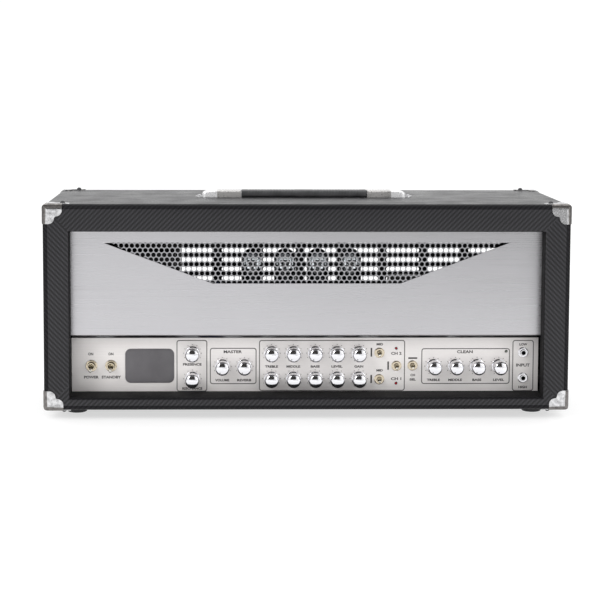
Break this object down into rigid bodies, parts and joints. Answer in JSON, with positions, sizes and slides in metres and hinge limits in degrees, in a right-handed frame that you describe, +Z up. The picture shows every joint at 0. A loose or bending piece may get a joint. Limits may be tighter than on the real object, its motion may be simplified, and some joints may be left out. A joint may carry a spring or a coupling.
{
  "type": "guitar amplifier head",
  "caption": "Full-width valve guitar amplifier head with a vented front, domed knobs, toggle switches and a strap handle.",
  "frame": {"origin": "on the floor under the middle of the cabinet", "axes": "+X to the right seen from the front, +Y to the back, +Z up"},
  "size_m": [0.7524, 0.2824, 0.3193],
  "materials": {
    "covered_board": "plywood board wrapped in dark twill-look vinyl",
    "vinyl_covering": "embossed carbon-twill vinyl, satin",
    "cleat_wood": "black painted batten",
    "corner_chrome": "polished pressed steel",
    "black_screw": "black domed screw head",
    "foot_rubber": "black rubber foot",
    "zinc_screw": "zinc plated screws and bolts",
    "cap_chrome": "polished cap",
    "spring_steel": "spring steel strap",
    "vent_steel": "brushed steel panel, grain along X",
    "grille_steel": "perforated steel, staggered round holes",
    "panel_stainless": "brushed stainless control panel, grain along X",
    "badge_grey": "satin dark grey blank badge",
    "chassis_metal": "zinc plated chassis steel",
    "jack_black": "moulded jack body",
    "inlet_black": "moulded inlet body with metal pins",
    "switch_body_metal": "rotary switch body",
    "transformer_black": "lacquered laminations and bells",
    "tube_glass": "clear valve glass on a dark base",
    "socket_ceramic": "glazed valve sockets",
    "shield_aluminium": "preamp valve shields",
    "capacitor_sleeve": "sleeved capacitor cans",
    "board_green": "circuit board with its components",
    "pot_metal": "potentiometer cans and bushings",
    "switch_nickel": "warm nickel bushings",
    "nut_nickel": "warm nickel hexagon nuts",
    "lamp_red": "red indicator lens",
    "tank_grey": "steel reverb tank",
    "cover_black": "black slotted steel cover",
    "knob_chrome": "polished dome with a dark pointer dot",
    "lever_nickel": "polished bat lever",
    "grip_rubber": "black moulded grip",
    "selector_black": "moulded pointer knob"
  },
  "bodies": {
    "cabinet": {"cabinet_top_board": "covered_board", "cabinet_bottom_board": "covered_board", "cabinet_sides": "covered_board", "front_frame": "vinyl_covering", "rear_cleats": "cleat_wood", "corner_protectors": "corner_chrome", "corner_screws": "black_screw", "rubber_feet": "foot_rubber", "fixing_screws": "zinc_screw", "handle_end_caps": "cap_chrome", "handle_strap": "spring_steel", "vent_panel": "vent_steel", "vent_grille": "grille_steel", "control_panel": "panel_stainless", "blank_badge": "badge_grey", "chassis": "chassis_metal", "jack_sockets": "jack_black", "mains_inlet": "inlet_black", "selector_switch": "switch_body_metal", "power_transformer": "transformer_black", "output_transformer": "transformer_black", "choke": "transformer_black", "power_tubes": "tube_glass", "tube_sockets": "socket_ceramic", "preamp_tubes": "tube_glass", "preamp_shields": "shield_aluminium", "filter_capacitors": "capacitor_sleeve", "circuit_board": "board_green", "potentiometers": "pot_metal", "toggle_bodies": "switch_nickel", "panel_nuts": "nut_nickel", "indicator_lamps": "lamp_red", "reverb_tank": "tank_grey", "rear_cover": "cover_black"},
    "handle": {"handle_grip": "grip_rubber"},
    "selector": {"selector_knob": "selector_black"},
    "presence_control": {"knob_presence": "knob_chrome"},
    "resonance_control": {"knob_resonance": "knob_chrome"},
    "volume_control": {"knob_volume": "knob_chrome"},
    "reverb_control": {"knob_reverb": "knob_chrome"},
    "lead_two_treble_control": {"knob_lead_two_treble": "knob_chrome"},
    "lead_two_middle_control": {"knob_lead_two_middle": "knob_chrome"},
    "lead_two_bass_control": {"knob_lead_two_bass": "knob_chrome"},
    "lead_two_level_control": {"knob_lead_two_level": "knob_chrome"},
    "lead_two_gain_control": {"knob_lead_two_gain": "knob_chrome"},
    "lead_one_treble_control": {"knob_lead_one_treble": "knob_chrome"},
    "lead_one_middle_control": {"knob_lead_one_middle": "knob_chrome"},
    "lead_one_bass_control": {"knob_lead_one_bass": "knob_chrome"},
    "lead_one_level_control": {"knob_lead_one_level": "knob_chrome"},
    "lead_one_gain_control": {"knob_lead_one_gain": "knob_chrome"},
    "clean_treble_control": {"knob_clean_treble": "knob_chrome"},
    "clean_middle_control": {"knob_clean_middle": "knob_chrome"},
    "clean_bass_control": {"knob_clean_bass": "knob_chrome"},
    "clean_level_control": {"knob_clean_level": "knob_chrome"},
    "power_switch": {"toggle_power": "lever_nickel"},
    "standby_switch": {"toggle_standby": "lever_nickel"},
    "voice_two_switch": {"toggle_voice_two": "lever_nickel"},
    "voice_one_switch": {"toggle_voice_one": "lever_nickel"},
    "lead_select_switch": {"toggle_lead_select": "lever_nickel"},
    "channel_switch": {"toggle_channel": "lever_nickel"}
  },
  "joints": [
    {"name": "handle_lift", "type": "slide", "parent": "cabinet", "child": "handle", "axis": [0, 0, 1], "range_m": [0, 0.018], "stiffness_N_per_m": 150, "deforming": ["handle_strap"]},
    {"name": "selector_turn", "type": "hinge", "parent": "cabinet", "child": "selector", "pos_m": [0, 0.13, 0.07], "axis": [0, -1, 0], "range_deg": [0, 60]},
    {"name": "presence_turn", "type": "hinge", "parent": "cabinet", "child": "presence_control", "pos_m": [-0.1645, -0.09, 0.0878], "axis": [0, 1, 0], "range_deg": [0, 300]},
    {"name": "resonance_turn", "type": "hinge", "parent": "cabinet", "child": "resonance_control", "pos_m": [-0.1645, -0.09, 0.0504], "axis": [0, 1, 0], "range_deg": [0, 300]},
    {"name": "volume_turn", "type": "hinge", "parent": "cabinet", "child": "volume_control", "pos_m": [-0.121, -0.09, 0.0686], "axis": [0, 1, 0], "range_deg": [0, 300]},
    {"name": "reverb_turn", "type": "hinge", "parent": "cabinet", "child": "reverb_control", "pos_m": [-0.089, -0.09, 0.0686], "axis": [0, 1, 0], "range_deg": [0, 300]},
    {"name": "lead_two_treble_turn", "type": "hinge", "parent": "cabinet", "child": "lead_two_treble_control", "pos_m": [-0.0496, -0.09, 0.0878], "axis": [0, 1, 0], "range_deg": [0, 300]},
    {"name": "lead_two_middle_turn", "type": "hinge", "parent": "cabinet", "child": "lead_two_middle_control", "pos_m": [-0.0178, -0.09, 0.0878], "axis": [0, 1, 0], "range_deg": [0, 300]},
    {"name": "lead_two_bass_turn", "type": "hinge", "parent": "cabinet", "child": "lead_two_bass_control", "pos_m": [0.014, -0.09, 0.0878], "axis": [0, 1, 0], "range_deg": [0, 300]},
    {"name": "lead_two_level_turn", "type": "hinge", "parent": "cabinet", "child": "lead_two_level_control", "pos_m": [0.0458, -0.09, 0.0878], "axis": [0, 1, 0], "range_deg": [0, 300]},
    {"name": "lead_two_gain_turn", "type": "hinge", "parent": "cabinet", "child": "lead_two_gain_control", "pos_m": [0.0776, -0.09, 0.0878], "axis": [0, 1, 0], "range_deg": [0, 300]},
    {"name": "lead_one_treble_turn", "type": "hinge", "parent": "cabinet", "child": "lead_one_treble_control", "pos_m": [-0.0496, -0.09, 0.0504], "axis": [0, 1, 0], "range_deg": [0, 300]},
    {"name": "lead_one_middle_turn", "type": "hinge", "parent": "cabinet", "child": "lead_one_middle_control", "pos_m": [-0.0178, -0.09, 0.0504], "axis": [0, 1, 0], "range_deg": [0, 300]},
    {"name": "lead_one_bass_turn", "type": "hinge", "parent": "cabinet", "child": "lead_one_bass_control", "pos_m": [0.014, -0.09, 0.0504], "axis": [0, 1, 0], "range_deg": [0, 300]},
    {"name": "lead_one_level_turn", "type": "hinge", "parent": "cabinet", "child": "lead_one_level_control", "pos_m": [0.0458, -0.09, 0.0504], "axis": [0, 1, 0], "range_deg": [0, 300]},
    {"name": "lead_one_gain_turn", "type": "hinge", "parent": "cabinet", "child": "lead_one_gain_control", "pos_m": [0.0776, -0.09, 0.0504], "axis": [0, 1, 0], "range_deg": [0, 300]},
    {"name": "clean_treble_turn", "type": "hinge", "parent": "cabinet", "child": "clean_treble_control", "pos_m": [0.1867, -0.09, 0.0686], "axis": [0, 1, 0], "range_deg": [0, 300]},
    {"name": "clean_middle_turn", "type": "hinge", "parent": "cabinet", "child": "clean_middle_control", "pos_m": [0.2185, -0.09, 0.0686], "axis": [0, 1, 0], "range_deg": [0, 300]},
    {"name": "clean_bass_turn", "type": "hinge", "parent": "cabinet", "child": "clean_bass_control", "pos_m": [0.2503, -0.09, 0.0686], "axis": [0, 1, 0], "range_deg": [0, 300]},
    {"name": "clean_level_turn", "type": "hinge", "parent": "cabinet", "child": "clean_level_control", "pos_m": [0.2821, -0.09, 0.0686], "axis": [0, 1, 0], "range_deg": [0, 300]},
    {"name": "power_flip", "type": "hinge", "parent": "cabinet", "child": "power_switch", "pos_m": [-0.311, -0.09, 0.0696], "axis": [-1, 0, 0], "range_deg": [0, 24]},
    {"name": "standby_flip", "type": "hinge", "parent": "cabinet", "child": "standby_switch", "pos_m": [-0.2825, -0.09, 0.0696], "axis": [-1, 0, 0], "range_deg": [0, 24]},
    {"name": "voice_two_flip", "type": "hinge", "parent": "cabinet", "child": "voice_two_switch", "pos_m": [0.1075, -0.09, 0.0883], "axis": [-1, 0, 0], "range_deg": [0, 24]},
    {"name": "voice_one_flip", "type": "hinge", "parent": "cabinet", "child": "voice_one_switch", "pos_m": [0.1075, -0.09, 0.0494], "axis": [-1, 0, 0], "range_deg": [0, 24]},
    {"name": "lead_select_flip", "type": "hinge", "parent": "cabinet", "child": "lead_select_switch", "pos_m": [0.1325, -0.09, 0.0691], "axis": [-1, 0, 0], "range_deg": [0, 24]},
    {"name": "channel_flip", "type": "hinge", "parent": "cabinet", "child": "channel_switch", "pos_m": [0.156, -0.09, 0.0696], "axis": [-1, 0, 0], "range_deg": [0, 24]}
  ]
}
